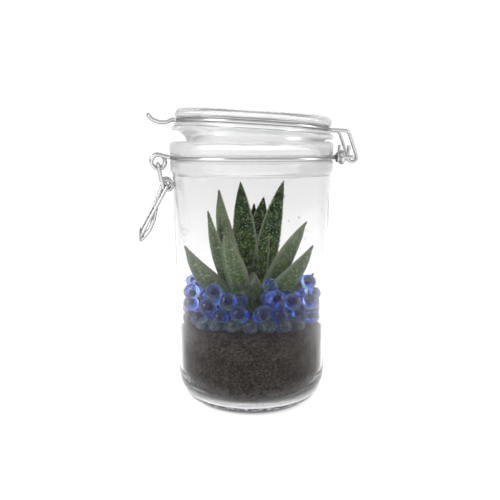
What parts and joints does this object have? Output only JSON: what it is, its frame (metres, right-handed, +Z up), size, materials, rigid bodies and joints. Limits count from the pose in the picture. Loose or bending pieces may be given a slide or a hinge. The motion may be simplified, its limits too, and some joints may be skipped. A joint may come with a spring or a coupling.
{
  "type": "glass plant terrarium",
  "caption": "Tall round clear glass jar with an ajar wire-hinged lid and lever clasp, holding a speckled rosette succulent in dark soil under a bed of blue water beads.",
  "frame": {"origin": "middle of the jar's foot, on the plane it stands on", "axes": "+Z up along the jar's axis, -X towards the latch, +X towards the lid's hinge, hinge axes along Y, -Y towards the pictured side"},
  "size_m": [0.1482, 0.1118, 0.1983],
  "materials": {
    "clear_glass": "clear, smooth, slightly streaked",
    "steel_wire": "drawn wire, bright",
    "bush_steel": "turned, bright",
    "seal_rubber": "translucent pale silicone",
    "potting_soil": "fine dark crumbly soil",
    "blue_gel": "wet clear gel, blue",
    "teal_gel": "wet clear gel, grey teal",
    "leaf_green": "thick leaf, dark green with raised white specks",
    "stem_green": "matt grey green stem"
  },
  "bodies": {
    "jar": {"jar_glass": "clear_glass", "neck_wire": "steel_wire", "hinge_bush_near": "bush_steel", "hinge_bush_far": "bush_steel", "soil": "potting_soil", "sunk_beads": "teal_gel", "water_beads": "blue_gel", "stem": "stem_green", "leaf_tall_centre": "leaf_green", "leaf_tall_right": "leaf_green", "leaf_front_left": "leaf_green", "leaf_upper_left": "leaf_green", "leaf_side_left": "leaf_green", "leaf_side_right": "leaf_green", "leaf_low_left": "leaf_green", "leaf_low_right": "leaf_green", "leaf_rear_right": "leaf_green", "leaf_rear_centre": "leaf_green", "leaf_back_left": "leaf_green", "leaf_back_right": "leaf_green", "leaf_far_right": "leaf_green", "leaf_far_left": "leaf_green", "leaf_small_front": "leaf_green", "leaf_small_left": "leaf_green", "leaf_small_right": "leaf_green"},
    "lid": {"lid_glass": "clear_glass", "lid_gasket": "seal_rubber", "lid_wire": "steel_wire"},
    "lever": {"lever_wire": "steel_wire"},
    "bail": {"bail_wire": "steel_wire"}
  },
  "joints": [
    {"name": "lid_hinge", "type": "hinge", "parent": "jar", "child": "lid", "pos_m": [0.0675, 0, 0.1672], "axis": [0, 1, 0], "range_deg": [-3.4, 225]},
    {"name": "lever_hinge", "type": "hinge", "parent": "jar", "child": "lever", "pos_m": [-0.0624, 0, 0.1631], "axis": [0, 1, 0], "range_deg": [0, 120]},
    {"name": "bail_hinge", "type": "hinge", "parent": "lever", "child": "bail", "pos_m": [-0.0572, 0, 0.1498], "axis": [0, 1, 0], "range_deg": [0, 60]}
  ]
}
